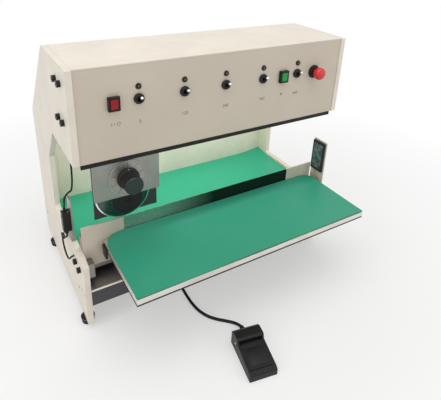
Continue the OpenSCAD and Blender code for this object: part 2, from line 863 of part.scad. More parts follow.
// From the pedal to the coil, along the floor
front_run = [
    [284.3, -170.3, 2], [287, -158, -1], [287, -146, -6], [282, -134, -9.5], [271, -122, ground],
    [256, -108, ground], [242, -90, ground], [233, -68, ground], [229, -42, ground],
    [229, -12, ground], [231, 25, ground], [232, 65, ground], [232, 110, ground],
    [232, 155, ground], [232, 180, ground], [232, 205, ground]];
// From the top of the coil back under the machine and up to the gland
rear_run = [
    [232, 205, -3.4], [232, 225, -3.4], [232, 240, -3.6], [232, 260, -6.5], [232, 280, -9.8],
    [232, 305, ground], [232, 345, ground], [232, 385, ground], [232, 420, ground],
    [232, 442, -8], [232, 460, -1], [232, 472, 12], [232, 476, 28], [232, 468, 42],
    [232, 452, 49], [232, 434, 50]];
module pedal_cord() {
    seat() color(black) {
        tube(curve(front_run, 2), cord_r, 8);
        tube(curve(rear_run, 2), cord_r, 8);
    }
}
module pedal_cord_coil() {
    way = cord_d + 0.2;
    seat() color(black) translate([coil_at[0], coil_at[1], -foot_h]) difference() {
        translate([0, 0, 0.1]) rotate_extrude() polygon([
            [coil_in, 0], [coil_out, 0], [coil_out, coil_h], [coil_in, coil_h]]);
        block([-coil_out - 1, -coil_out, -1], [-coil_turns[0] + cord_r + 0.1, 0, coil_h + 1]);
        block([-coil_out - 1, 0, way], [-coil_turns[0] + cord_r + 0.1, coil_out, coil_h + 1]);
    }
}

left_side_plate();
right_side_plate();
head_front_panel();
head_top_cover();
rear_panel();
throat_back_panel();
rear_table();
rear_mat();
blade_beam();
lower_blade();
left_blade_guard();
right_blade_guard();
front_tray();
tray_mat();
tray_brackets();
base_shelf();
front_beam();
rubber_feet();
skirt_strip();
guide_beam();
top_tie_bar();
guide_rails();
side_screws();
left_sensor_bracket();
right_sensor_bracket();
light_sensor();
sensor_reflector();
sensor_cable();
power_supply();
control_board();
drive_motor();
screw_bearings();
mains_inlet();
pedal_gland();
button_bezels();
lamp_bezels();
toggle_bodies();
estop_collar();
carriage_plate();
slide_blocks();
height_dial();
screw_nut();
blade_cover();
arbor_block();
round_blade();
blade_arbor();
height_knob();
lead_screw();
power_button();
start_button();
estop_button();
toggle_lever_1();
toggle_lever_2();
toggle_lever_3();
toggle_lever_4();
toggle_lever_5();
pedal_base();
pedal_treadle();
pedal_cord();
pedal_cord_coil();
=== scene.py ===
"""Dresses the board separator: finishes, mats, switches, dial, cords, screws and studio."""
import math

import bmesh
import bpy
from mathutils import Matrix, Vector


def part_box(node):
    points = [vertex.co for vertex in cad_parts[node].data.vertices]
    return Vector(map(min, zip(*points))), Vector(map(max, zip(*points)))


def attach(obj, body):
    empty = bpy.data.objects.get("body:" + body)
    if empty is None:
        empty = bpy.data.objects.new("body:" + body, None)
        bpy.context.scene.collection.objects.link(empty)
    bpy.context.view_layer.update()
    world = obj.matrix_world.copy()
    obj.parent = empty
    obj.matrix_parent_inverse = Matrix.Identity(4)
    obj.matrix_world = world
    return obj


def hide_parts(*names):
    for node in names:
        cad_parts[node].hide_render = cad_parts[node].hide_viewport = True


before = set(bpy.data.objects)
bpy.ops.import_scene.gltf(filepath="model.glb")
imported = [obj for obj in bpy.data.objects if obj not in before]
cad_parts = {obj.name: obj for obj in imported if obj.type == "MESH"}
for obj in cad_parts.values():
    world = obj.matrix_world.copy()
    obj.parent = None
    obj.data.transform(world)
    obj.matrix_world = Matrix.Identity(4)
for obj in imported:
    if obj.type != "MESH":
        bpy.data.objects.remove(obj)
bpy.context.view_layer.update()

MM = 0.001
# Lower front corner of the left side plate: the zero of every place given below in millimetres
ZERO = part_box("left_side_plate")[0]
# Carriage at rest: the knob turns about (CARRIAGE_X, DIAL_Z) and the blade about BLADE_Z below it
CARRIAGE_X = 105
DIAL_Z = 338
BLADE_Z = 284
# Front face of the panel, and what sits on it
PANEL_Y = 2
TOGGLES = [130 + 95.25 * i for i in range(5)]
TOGGLE_Z = 506
LAMP_Z = 530
LABEL_Z = 459
POWER_X = 81
START_X = 471
STOP_X = 562
KEY_Z = 504
KEY_FRONT = -7
# Axis of the lead screw, and the upright axis of the light sensor
SCREW_Y, SCREW_Z = 74, 430
SENSOR_X, SENSOR_Y = -5, 107

FACING = {
    "up": (0, 0, 0),
    "down": (math.pi, 0, 0),
    "front": (math.pi / 2, 0, 0),
    "back": (-math.pi / 2, 0, 0),
    "right": (0, math.pi / 2, 0),
    "left": (0, -math.pi / 2, 0),
}


def at(x, y, z):
    """A place on the machine: x from its left side, y back from the head's front, z up."""
    return ZERO + Vector((x, y, z)) * MM


def node_mm(node):
    """Lowest and highest corner of a CAD node, in the same millimetres."""
    low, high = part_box(node)
    return (low - ZERO) / MM, (high - ZERO) / MM


# ------------------------------------------------------------------ modelling helpers
def deselect():
    bpy.ops.object.select_all(action="DESELECT")


def only(piece):
    """Selects one piece and makes it active."""
    deselect()
    piece.select_set(True)
    bpy.context.view_layer.objects.active = piece


def settle(piece):
    """Puts the piece's place, turn and size into its mesh."""
    only(piece)
    bpy.ops.object.transform_apply(location=True, rotation=True, scale=True)
    return piece


def select_faces(piece, test):
    """In edit mode, selects the faces whose centre and normal pass the test."""
    mesh = bmesh.from_edit_mesh(piece.data)
    bpy.ops.mesh.select_mode(type="FACE")
    for face in mesh.faces:
        face.select_set(test(face.calc_center_median(), face.normal))
    bmesh.update_edit_mesh(piece.data)


def select_edges(piece, test):
    """In edit mode, selects the edges whose two ends pass the test."""
    mesh = bmesh.from_edit_mesh(piece.data)
    bpy.ops.mesh.select_mode(type="EDGE")
    for edge in mesh.edges:
        edge.select_set(test(edge.verts[0].co, edge.verts[1].co))
    bmesh.update_edit_mesh(piece.data)


def smooth(piece, angle=35):
    only(piece)
    bpy.ops.object.shade_smooth_by_angle(angle=math.radians(angle))
    return piece


def face_out(piece):
    """Merges doubles and turns every face outwards."""
    only(piece)
    bpy.ops.object.mode_set(mode="EDIT")
    bpy.ops.mesh.select_all(action="SELECT")
    bpy.ops.mesh.remove_doubles(threshold=1e-6)
    bpy.ops.mesh.normals_make_consistent(inside=False)
    bpy.ops.object.mode_set(mode="OBJECT")
    return piece


def apply_modifier(piece, kind, **settings):
    only(piece)
    modifier = piece.modifiers.new(kind.title(), kind)
    for key, value in settings.items():
        setattr(modifier, key, value)
    bpy.ops.object.modifier_apply(modifier=modifier.name)
    return piece


def block(name, low, high, edge=0.6, steps=2):
    """A block between two corners in millimetres, its edges rounded by edge millimetres."""
    low, high = Vector(low), Vector(high)
    deselect()
    bpy.ops.mesh.primitive_cube_add(size=1, location=at(*((low + high) / 2)), scale=(high - low) * MM)
    piece = settle(bpy.context.object)
    piece.name = name
    if edge:
        bpy.ops.object.mode_set(mode="EDIT")
        bpy.ops.mesh.select_all(action="SELECT")
        bpy.ops.mesh.bevel(offset=edge * MM, segments=steps, affect="EDGES")
        bpy.ops.object.mode_set(mode="OBJECT")
    return smooth(piece)


def turned(name, place, facing, profile, sides=40, closed=(True, True)):
    """A turned piece. Its profile runs along the axis as (distance, radius) in millimetres."""
    deselect()
    first = profile[0]
    bpy.ops.mesh.primitive_circle_add(vertices=sides, radius=max(first[1], 0.01) * MM,
        location=(0, 0, first[0] * MM), fill_type="NGON" if closed[0] else "NOTHING")
    piece = settle(bpy.context.object)
    piece.name = name
    bpy.ops.object.mode_set(mode="EDIT")
    bpy.ops.mesh.select_mode(type="EDGE")
    bpy.ops.mesh.select_all(action="SELECT")
    if closed[0]:
        select_edges(piece, lambda a, b: True)
    at_z, radius = first
    for z, next_radius in profile[1:]:
        bpy.ops.mesh.extrude_edges_move(TRANSFORM_OT_translate={"value": (0, 0, (z - at_z) * MM)})
        ratio = max(next_radius, 0.01) / max(radius, 0.01)
        bpy.ops.transform.resize(value=(ratio, ratio, 1), center_override=(0, 0, z * MM))
        at_z, radius = z, next_radius
    if closed[1]:
        bpy.ops.mesh.edge_face_add()
    bpy.ops.object.mode_set(mode="OBJECT")
    piece.rotation_euler = FACING[facing]
    piece.location = at(*place)
    settle(piece)
    return smooth(face_out(piece))


def round_dial(piece, name, turn):
    """A copy with its own mesh, turned round the dial by a number of degrees."""
    twin = piece.copy()
    twin.data = piece.data.copy()
    twin.name = name
    bpy.context.collection.objects.link(twin)
    pivot = Matrix.Translation(at(CARRIAGE_X, 0, DIAL_Z))
    twin.data.transform(pivot @ Matrix.Rotation(math.radians(turn), 4, "Y") @ pivot.inverted())
    return twin


def joined(name, pieces):
    """Several pieces made one."""
    deselect()
    for piece in pieces:
        piece.select_set(True)
    bpy.context.view_layer.objects.active = pieces[0]
    if len(pieces) > 1:
        bpy.ops.object.join()
    pieces[0].name = name
    return pieces[0]


def lettering(name, words, place, facing, height, depth=0.15):
    """Plain numbers, height millimetres tall and a hair proud of the face they stand on."""
    deselect()
    bpy.ops.object.text_add()
    piece = bpy.context.object
    piece.data.body = words
    piece.data.align_x = "CENTER"
    piece.data.align_y = "CENTER"
    piece.data.size = height * MM / 0.7
    piece.data.extrude = depth * MM
    piece.data.resolution_u = 3
    bpy.ops.object.convert(target="MESH")
    piece = bpy.context.object
    piece.name = name
    piece.rotation_euler = FACING[facing]
    piece.location = at(*place)
    return face_out(settle(piece))


def tube(name, points, diameter, around=8):
    """A smooth round cord through points in millimetres, as a curve of one open spline."""
    line = bpy.data.curves.new(name, "CURVE")
    line.dimensions = "3D"
    line.bevel_depth = diameter / 2 * MM
    line.bevel_resolution = around // 2 - 2
    line.use_fill_caps = True
    spline = line.splines.new("POLY")
    spline.points.add(len(points) - 1)
    for point, place in zip(spline.points, points):
        point.co = (*at(*place), 1)
    piece = bpy.data.objects.new(name, line)
    bpy.context.collection.objects.link(piece)
    return piece


def meshed(piece):
    """A curve turned into a mesh."""
    only(piece)
    bpy.ops.object.convert(target="MESH")
    return bpy.context.object


def through(points, steps=6):
    """Points along the smooth curve that passes through the given ones."""
    made = []
    last = len(points) - 1
    for i in range(last):
        a, b = Vector(points[max(i - 1, 0)]), Vector(points[i])
        c, d = Vector(points[i + 1]), Vector(points[min(i + 2, last)])
        for k in range(steps):
            t = k / steps
            made.append(0.5 * (2 * b + (c - a) * t + (2 * a - 5 * b + 4 * c - d) * t * t
                + (3 * b - a - 3 * c + d) * t ** 3))
    made.append(Vector(points[last]))
    return made


# ------------------------------------------------------------------ camera and studio
def add_camera():
    """Stands to the left of the machine and above it, turned a little on its own axis."""
    azimuth, elevation, roll = (math.radians(angle) for angle in (32.4, 23.4, 2.6))
    turn = (Matrix.Rotation(-azimuth, 4, "Z") @ Matrix.Rotation(math.pi / 2 - elevation, 4, "X")
        @ Matrix.Rotation(roll, 4, "Z"))
    bpy.ops.object.camera_add(location=at(-154.7, -732.8, 803.8), rotation=turn.to_euler())
    camera = bpy.context.object
    camera.data.lens = 36.4
    camera.data.shift_y = -0.181
    bpy.context.scene.camera = camera


def add_lamp(name, place, aim, size, power, colour):
    """A soft lamp at place, shining at aim."""
    way = Vector(aim) - Vector(place)
    bpy.ops.object.light_add(type="AREA", location=place,
        rotation=way.to_track_quat("-Z", "Y").to_euler())
    lamp = bpy.context.object
    lamp.name = name
    lamp.data.shape = "RECTANGLE"
    lamp.data.size, lamp.data.size_y = size
    lamp.data.energy = power
    lamp.data.color = colour


def seen_directly(tree):
    """1 where the camera, a reflection or a view through glass looks straight at it."""
    path = node(tree, "ShaderNodeLightPath").outputs
    seen = maths(tree, "MAXIMUM", path["Is Camera Ray"], path["Is Glossy Ray"])
    return maths(tree, "MAXIMUM", seen, path["Is Transmission Ray"])


def add_floor():
    """A pale floor that shows soft shadows near the machine and goes over to plain white."""
    deselect()
    bpy.ops.mesh.primitive_plane_add(size=12)
    floor = bpy.context.object
    floor.name = "studio_floor"
    white = bpy.data.materials.new("studio_white")
    white.use_nodes = True
    tree = white.node_tree
    principled = tree.nodes["Principled BSDF"]
    principled.inputs["Base Color"].default_value = (0.93, 0.93, 0.93, 1)
    principled.inputs["Roughness"].default_value = 0.9
    place = node(tree, "ShaderNodeTexCoord").outputs["Object"]
    reach = node(tree, "ShaderNodeVectorMath", {0: place}, operation="LENGTH").outputs["Value"]
    share = maths(tree, "MULTIPLY", ranged(tree, reach, 0.45, 1.3, 0.4, 1.0), seen_directly(tree))
    glow = node(tree, "ShaderNodeEmission", {"Color": (1, 1, 1, 1), "Strength": 1.0})
    mix = node(tree, "ShaderNodeMixShader", {0: share})
    tree.links.new(principled.outputs["BSDF"], mix.inputs[1])
    tree.links.new(glow.outputs["Emission"], mix.inputs[2])
    tree.links.new(mix.outputs["Shader"], tree.nodes["Material Output"].inputs["Surface"])
    floor.data.materials.append(white)


def add_studio():
    """Three soft lamps round the machine, one in its throat, a pale floor and surround."""
    add_lamp("top_lamp", (-0.3, -0.4, 2.4), (0, 0, 0.3), (2.2, 1.8), 21, (1.0, 0.985, 0.96))
    add_lamp("front_lamp", (1.3, -2.2, 1.3), (0, 0, 0.3), (1.6, 1.6), 7, (1.0, 0.985, 0.965))
    add_lamp("left_lamp", (-2.3, -0.5, 1.3), (0, 0, 0.3), (1.4, 1.6), 9, (0.97, 0.98, 1.0))
    add_lamp("throat_lamp", at(330, 150, 380), at(330, 215, 150), (0.56, 0.09), 0.72,
        (1.0, 1.0, 0.96))
    bpy.context.object.visible_glossy = False
    add_floor()
    world = bpy.data.worlds.new("studio_world")
    bpy.context.scene.world = world
    world.use_nodes = True
    tree = world.node_tree
    backdrop = tree.nodes["Background"]
    backdrop.inputs["Color"].default_value = (1, 1, 1, 1)
    tree.links.new(ranged(tree, seen_directly(tree), 0.0, 1.0, 0.55, 1.0),
        backdrop.inputs["Strength"])


bpy.context.scene.view_settings.view_transform = "Standard"
add_camera()


# ------------------------------------------------------------------ shader node groups
def new_group(name, inputs, outputs):
    """An empty shader group with named inputs (kind, value) and outputs (kind)."""
    group = bpy.data.node_groups.new(name, "ShaderNodeTree")
    for label, (kind, value) in inputs.items():
        socket = group.interface.new_socket(label, in_out="INPUT", socket_type=kind)
        socket.default_value = value
    for label, kind in outputs.items():
        group.interface.new_socket(label, in_out="OUTPUT", socket_type=kind)
    return group, group.nodes.new("NodeGroupInput"), group.nodes.new("NodeGroupOutput")


FLOAT, VECTOR, COLOUR = "NodeSocketFloat", "NodeSocketVector", "NodeSocketColor"
SURFACE_OUT = {"Color": COLOUR, "Roughness": FLOAT, "Normal": VECTOR}


def node(tree, kind, links=(), **settings):
    """A node with its settings, and links into its inputs as {input: value or socket}."""
    made = tree.nodes.new(kind)
    for key, value in settings.items():
        setattr(made, key, value)
    for label, source in dict(links).items():
        if isinstance(source, bpy.types.NodeSocket):
            tree.links.new(source, made.inputs[label])
        else:
            made.inputs[label].default_value = source
    return made


def maths(tree, operation, first, second=0.0):
    """The result of one sum on values or sockets."""
    return node(tree, "ShaderNodeMath", {0: first, 1: second}, operation=operation).outputs[0]


def blended(tree, factor, first, second):
    """A colour between the first and the second, by the factor."""
    mix = node(tree, "ShaderNodeMix", data_type="RGBA")
    for index, source in ((0, factor), (6, first), (7, second)):
        if isinstance(source, bpy.types.NodeSocket):
            tree.links.new(source, mix.inputs[index])
        else:
            mix.inputs[index].default_value = source
    return mix.outputs[2]


def ranged(tree, value, low, high, to_low=0.0, to_high=1.0):
    """The value between low and high, drawn out to the other range and held at its ends."""
    return node(tree, "ShaderNodeMapRange", {"Value": value, "From Min": low, "From Max": high,
        "To Min": to_low, "To Max": to_high}).outputs["Result"]


def rounded_edges(tree, radius):
    """The normal with softly rounded edges, and a mask of how near an edge is."""
    soft = node(tree, "ShaderNodeBevel", {"Radius": radius}, samples=4).outputs["Normal"]
    flat = node(tree, "ShaderNodeNewGeometry").outputs["Normal"]
    match = node(tree, "ShaderNodeVectorMath", {0: soft, 1: flat}, operation="DOT_PRODUCT")
    return soft, ranged(tree, match.outputs["Value"], 0.995, 0.80)


def coat_group():
    """Powder coat, paint or moulded plastic: cloudy tone, orange peel, edges rubbed lighter."""
    group, given, out = new_group("coat_surface", {
        "Color": (COLOUR, (0.8, 0.8, 0.8, 1)), "Rubbed Color": (COLOUR, (0.9, 0.9, 0.9, 1)),
        "Rubbed": (FLOAT, 0.3), "Cloud": (FLOAT, 0.06), "Cloud Scale": (FLOAT, 14.0),
        "Roughness": (FLOAT, 0.45), "Peel Scale": (FLOAT, 900.0), "Peel Depth": (FLOAT, 0.12),
        "Edge Radius": (FLOAT, 0.0012)}, SURFACE_OUT)
    place = node(group, "ShaderNodeTexCoord").outputs["Object"]
    cloud = node(group, "ShaderNodeTexNoise", {"Vector": place,
        "Scale": given.outputs["Cloud Scale"], "Detail": 3.0, "Roughness": 0.6}).outputs[0]
    cloud = ranged(group, cloud, 0.3, 0.7, -1.0, 1.0)
    tone = maths(group, "MULTIPLY_ADD", cloud, given.outputs["Cloud"])
    tone.node.inputs[2].default_value = 1.0
    toned = node(group, "ShaderNodeVectorMath", {0: given.outputs["Color"]}, operation="SCALE")
    group.links.new(tone, toned.inputs["Scale"])
    soft, edge = rounded_edges(group, given.outputs["Edge Radius"])
    worn = maths(group, "MULTIPLY", edge, given.outputs["Rubbed"])
    group.links.new(blended(group, worn, toned.outputs[0], given.outputs["Rubbed Color"]),
        out.inputs["Color"])
    rough = maths(group, "MULTIPLY_ADD", cloud, 0.04)
    group.links.new(given.outputs["Roughness"], rough.node.inputs[2])
    group.links.new(rough, out.inputs["Roughness"])
    peel = node(group, "ShaderNodeTexNoise", {"Vector": place,
        "Scale": given.outputs["Peel Scale"], "Detail": 2.0}).outputs[0]
    bump = node(group, "ShaderNodeBump", {"Strength": given.outputs["Peel Depth"],
        "Distance": 0.0004, "Height": peel, "Normal": soft})
    group.links.new(bump.outputs["Normal"], out.inputs["Normal"])
    return group


def metal_group():
    """Ground, brushed or turned metal: fine streaks across the stretch, softened edges."""
    group, given, out = new_group("metal_surface", {
        "Color": (COLOUR, (0.6, 0.6, 0.6, 1)), "Stretch": (VECTOR, (1.0, 60.0, 60.0)),
        "Centre": (VECTOR, (0.0, 0.0, 0.0)), "Turned": (FLOAT, 0.0),
        "Grain Scale": (FLOAT, 30.0), "Grain Tone": (FLOAT, 0.12),
        "Grain Depth": (FLOAT, 0.15), "Roughness": (FLOAT, 0.3), "Stain": (FLOAT, 0.1),
        "Edge Radius": (FLOAT, 0.0006)}, SURFACE_OUT)
    place = node(group, "ShaderNodeTexCoord").outputs["Object"]
    shifted = node(group, "ShaderNodeVectorMath", {0: place, 1: given.outputs["Centre"]},
        operation="SUBTRACT").outputs[0]
    straight = node(group, "ShaderNodeVectorMath", {0: shifted, 1: given.outputs["Stretch"]},
        operation="MULTIPLY").outputs[0]
    flat = node(group, "ShaderNodeVectorMath", {0: shifted, 1: (1.0, 0.0, 1.0)},
        operation="MULTIPLY").outputs[0]
    radius = node(group, "ShaderNodeVectorMath", {0: flat}, operation="LENGTH").outputs["Value"]
    rings = node(group, "ShaderNodeCombineXYZ", {"X": maths(group, "MULTIPLY", radius, 60.0)})
    route = node(group, "ShaderNodeMix", data_type="VECTOR")
    for index, source in ((0, given.outputs["Turned"]), (4, straight), (5, rings.outputs[0])):
        group.links.new(source, route.inputs[index])
    grain = node(group, "ShaderNodeTexNoise", {"Vector": route.outputs[1],
        "Scale": given.outputs["Grain Scale"], "Detail": 4.0, "Roughness": 0.7}).outputs[0]
    grain = ranged(group, grain, 0.3, 0.7, -1.0, 1.0)
    stain = node(group, "ShaderNodeTexNoise", {"Vector": place, "Scale": 18.0, "Detail": 3.0})
    stain = ranged(group, stain.outputs[0], 0.45, 0.75)
    stain = maths(group, "MULTIPLY", stain, given.outputs["Stain"])
    tone = maths(group, "MULTIPLY_ADD", grain, given.outputs["Grain Tone"])
    tone.node.inputs[2].default_value = 1.0
    dulled = maths(group, "SUBTRACT", tone, stain)
    toned = node(group, "ShaderNodeVectorMath", {0: given.outputs["Color"]}, operation="SCALE")
    group.links.new(dulled, toned.inputs["Scale"])
    group.links.new(toned.outputs[0], out.inputs["Color"])
    rough = maths(group, "MULTIPLY_ADD", grain, 0.05)
    group.links.new(given.outputs["Roughness"], rough.node.inputs[2])
    group.links.new(maths(group, "ADD", rough, stain), out.inputs["Roughness"])
    soft, _ = rounded_edges(group, given.outputs["Edge Radius"])
    bump = node(group, "ShaderNodeBump", {"Strength": given.outputs["Grain Depth"],
        "Distance": 0.0001, "Height": grain, "Normal": soft})
    group.links.new(bump.outputs["Normal"], out.inputs["Normal"])
    return group


def rubber_group():
    """Rubber and soft plastic: fine matte grain, a little dust and paler rubbed streaks."""
    group, given, out = new_group("rubber_surface", {
        "Color": (COLOUR, (0.1, 0.1, 0.1, 1)), "Dust Color": (COLOUR, (0.5, 0.5, 0.5, 1)),
        "Dust": (FLOAT, 0.1), "Roughness": (FLOAT, 0.5), "Grain Scale": (FLOAT, 1500.0),
        "Grain Depth": (FLOAT, 0.2), "Edge Radius": (FLOAT, 0.0006)}, SURFACE_OUT)
    place = node(group, "ShaderNodeTexCoord").outputs["Object"]
    cloud = node(group, "ShaderNodeTexNoise", {"Vector": place, "Scale": 9.0, "Detail": 4.0,
        "Roughness": 0.65}).outputs[0]
    cloud = ranged(group, cloud, 0.42, 0.78)
    speck = node(group, "ShaderNodeTexNoise", {"Vector": place, "Scale": 420.0, "Detail": 2.0})
    speck = ranged(group, speck.outputs[0], 0.62, 0.72)
    dust = maths(group, "MULTIPLY_ADD", speck, 0.35)
    group.links.new(cloud, dust.node.inputs[2])
    dust = maths(group, "MULTIPLY", dust, given.outputs["Dust"])
    group.links.new(blended(group, dust, given.outputs["Color"], given.outputs["Dust Color"]),
        out.inputs["Color"])
    group.links.new(maths(group, "ADD", given.outputs["Roughness"],
        maths(group, "MULTIPLY", dust, 0.6)), out.inputs["Roughness"])
    soft, _ = rounded_edges(group, given.outputs["Edge Radius"])
    grain = node(group, "ShaderNodeTexNoise", {"Vector": place,
        "Scale": given.outputs["Grain Scale"], "Detail": 2.0}).outputs[0]
    bump = node(group, "ShaderNodeBump", {"Strength": given.outputs["Grain Depth"],
        "Distance": 0.0003, "Height": grain, "Normal": soft})
    group.links.new(bump.outputs["Normal"], out.inputs["Normal"])
    return group


COAT, METAL, RUBBER = coat_group(), metal_group(), rubber_group()


def finish_of(name, group, values, **shader):
    """A material: the surface group with its own values, and the shader's plain sockets."""
    made = bpy.data.materials.new(name)
    made.use_nodes = True
    tree = made.node_tree
    principled = tree.nodes["Principled BSDF"]
    surface = tree.nodes.new("ShaderNodeGroup")
    surface.node_tree = group
    for label, value in values.items():
        surface.inputs[label].default_value = (*value, 1) if "Color" in label else value
    for label, socket in (("Color", "Base Color"), ("Roughness", "Roughness"), ("Normal", "Normal")):
        tree.links.new(surface.outputs[label], principled.inputs[socket])
    for label, value in shader.items():
        principled.inputs[label.replace("_", " ")].default_value = value
    return made


def paint(name, colour, rubbed=None, **values):
    rubbed = rubbed or tuple(min(1, c * 1.12 + 0.02) for c in colour)
    shader = {k: values.pop(k) for k in list(values) if k in ("Coat_Weight", "Metallic")}
    labels = {k.replace("_", " "): v for k, v in values.items()}
    return finish_of(name, COAT, {"Color": colour, "Rubbed Color": rubbed, **labels}, **shader)


def metal(name, colour, **values):
    labels = {k.replace("_", " "): v for k, v in values.items()}
    return finish_of(name, METAL, {"Color": colour, **labels}, Metallic=1.0)


def rubber(name, colour, dust=0.1, **values):
    labels = {k.replace("_", " "): v for k, v in values.items()}
    paler = tuple(min(1, c * 0.8 + 0.15) for c in colour)
    return finish_of(name, RUBBER, {"Color": colour, "Dust Color": paler, "Dust": dust, **labels})


# ------------------------------------------------------------------ finishes
CREAM = (0.80, 0.735, 0.63)
# A darker copy of the cream paint. On the head's front panel, its darker tone is painted shade.
DARKER_CREAM = (0.60, 0.53, 0.435)
dial_axis = at(CARRIAGE_X, 0, DIAL_Z)
blade_axis = at(CARRIAGE_X, 0, BLADE_Z)


def duller(materials, level):
    """Lowers the mirror-like share of non-metal finishes."""
    for material in materials:
        principled = material.node_tree.nodes["Principled BSDF"]
        principled.inputs["Specular IOR Level"].default_value = level


def darker_to_the_right(made, start, end, dark):
    """The material going over to a dark colour between two places along the machine: a painted dark
    reflection.
    """
    tree = made.node_tree
    base = tree.nodes["Principled BSDF"].inputs["Base Color"]
    light = base.links[0].from_socket
    place = node(tree, "ShaderNodeTexCoord").outputs["Object"]
    along = node(tree, "ShaderNodeSeparateXYZ", {"Vector": place}).outputs["X"]
    share = ranged(tree, along, at(start, 0, 0).x, at(end, 0, 0).x)
    tree.links.new(blended(tree, share, light, dark), base)
    return made


cream_paint = paint("cream_powder_coat", CREAM, Roughness=0.42, Peel_Depth=0.10, Rubbed=0.35)
darker_cream_paint = paint("darker_cream_powder_coat", DARKER_CREAM, Roughness=0.40, Peel_Depth=0.10, Rubbed=0.35,
    Cloud=0.04, Cloud_Scale=5.0)
dark_paint = paint("dark_grey_paint", (0.042, 0.044, 0.05), Roughness=0.38, Rubbed=0.5,
    Rubbed_Color=(0.16, 0.16, 0.17))
black_oxide = paint("black_oxide", (0.016, 0.016, 0.018), Roughness=0.34, Peel_Scale=1400.0,
    Rubbed=0.5, Rubbed_Color=(0.12, 0.12, 0.12), Edge_Radius=0.0004)
black_plastic = paint("black_moulded_plastic", (0.014, 0.014, 0.014), Roughness=0.42,
    Peel_Scale=2200.0, Peel_Depth=0.25, Rubbed=0.4, Rubbed_Color=(0.07, 0.07, 0.07))
sensor_plastic = paint("sensor_housing", (0.02, 0.02, 0.022), Roughness=0.35, Peel_Depth=0.1)
board_lacquer = paint("board_lacquer", (0.02, 0.12, 0.05), Roughness=0.25, Cloud_Scale=120.0,
    Cloud=0.3)
gear_paint = paint("motor_paint", (0.05, 0.052, 0.058), Roughness=0.5, Peel_Depth=0.3)
# The lower blade darkens towards its right end: a painted reflection of the dark surroundings, not the
# steel's own colour.
lower_blade_steel = darker_to_the_right(metal("mirror_ground_steel", (0.60, 0.58, 0.54),
    Roughness=0.24, Grain_Depth=0.03, Grain_Tone=0.05, Stain=0.05, Stretch=(1.0, 80.0, 80.0)),
    170, 330, (0.03, 0.036, 0.033, 1))
# The round blade's face is coloured dark greenish grey: a painted reflection of the dark cover, not the
# steel's own colour.
blade_steel_painted_reflection = metal("turned_blade_steel_painted_reflection", (0.10, 0.125, 0.115), Roughness=0.25, Turned=1.0,
    Centre=blade_axis, Grain_Tone=0.10)
rail_steel = metal("ground_rail_steel", (0.55, 0.55, 0.55), Roughness=0.22)
bracket_steel = metal("zinc_plated_steel", (0.50, 0.49, 0.47), Roughness=0.36, Stain=0.2,
    Stretch=(40.0, 40.0, 2.0))
grey_plate = metal("brushed_carriage_plate", (0.31, 0.325, 0.295), Roughness=0.42,
    Stretch=(1.0, 40.0, 50.0), Grain_Tone=0.06)
dial_silver = metal("turned_dial_silver", (0.36, 0.345, 0.31), Roughness=0.36, Turned=1.0,
    Centre=dial_axis, Grain_Tone=0.06)
tray_metal = metal("plain_aluminium", (0.78, 0.74, 0.68), Roughness=0.38, Grain_Tone=0.05)
chrome = metal("bright_chrome", (0.85, 0.85, 0.86), Roughness=0.08, Grain_Depth=0.0,
    Grain_Tone=0.02, Stain=0.02)
screw_zinc = metal("bright_zinc_screw", (0.62, 0.62, 0.60), Roughness=0.28, Grain_Tone=0.05)
brass = metal("machined_brass", (0.62, 0.44, 0.17), Roughness=0.28, Grain_Tone=0.08)
# The rear mat is the same rubber as the front mat, coloured lighter: painted light on the rear table.
mat_front = rubber("front_mat_rubber", (0.035, 0.33, 0.205), dust=0.10, Roughness=0.42,
    Grain_Depth=0.06)
mat_rear_painted_light = rubber("rear_mat_rubber_painted_light", (0.035, 0.42, 0.25), dust=0.06, Roughness=0.42,
    Grain_Depth=0.06)
black_rubber = rubber("black_rubber", (0.013, 0.013, 0.013), dust=0.06, Roughness=0.55)
cord_rubber = rubber("cord_sheath", (0.012, 0.012, 0.012), dust=0.03, Roughness=0.4)
red_plastic = paint("red_button_plastic", (0.30, 0.006, 0.009), Roughness=0.4, Peel_Depth=0.03,
    Coat_Weight=0.05)
green_plastic = paint("green_button_plastic", (0.006, 0.33, 0.06), Roughness=0.4,
    Peel_Depth=0.03, Coat_Weight=0.05)
stop_red = paint("stop_button_red", (0.62, 0.014, 0.012), Roughness=0.3, Peel_Depth=0.04,
    Coat_Weight=0.3)
label_ink = paint("label_ink", (0.22, 0.27, 0.16), Roughness=0.6, Rubbed=0.0)
dial_ink = paint("dial_ink", (0.02, 0.02, 0.02), Roughness=0.5, Rubbed=0.0)
knob_face = metal("knob_face_grey", (0.045, 0.062, 0.056), Roughness=0.45, Turned=1.0,
    Centre=dial_axis, Grain_Tone=0.08)
edge_steel = metal("ground_blade_edge", (0.92, 0.93, 0.92), Roughness=0.22, Grain_Tone=0.03)
lamp_red = paint("lamp_lens_red", (0.016, 0.003, 0.003), Roughness=0.12, Peel_Depth=0.02,
    Coat_Weight=0.8)
lamp_amber = paint("lamp_lens_amber", (0.6, 0.22, 0.02), Roughness=0.15, Peel_Depth=0.02)
beam_steel = metal("blade_beam_steel", (0.30, 0.295, 0.28), Roughness=0.4, Stain=0.2)
pointer_white = paint("pointer_white", (0.8, 0.8, 0.78), Roughness=0.4, Rubbed=0.0)
duller((black_plastic, black_rubber, cord_rubber, black_oxide, sensor_plastic), 0.22)
duller((mat_front, mat_rear_painted_light, red_plastic, green_plastic), 0.3)


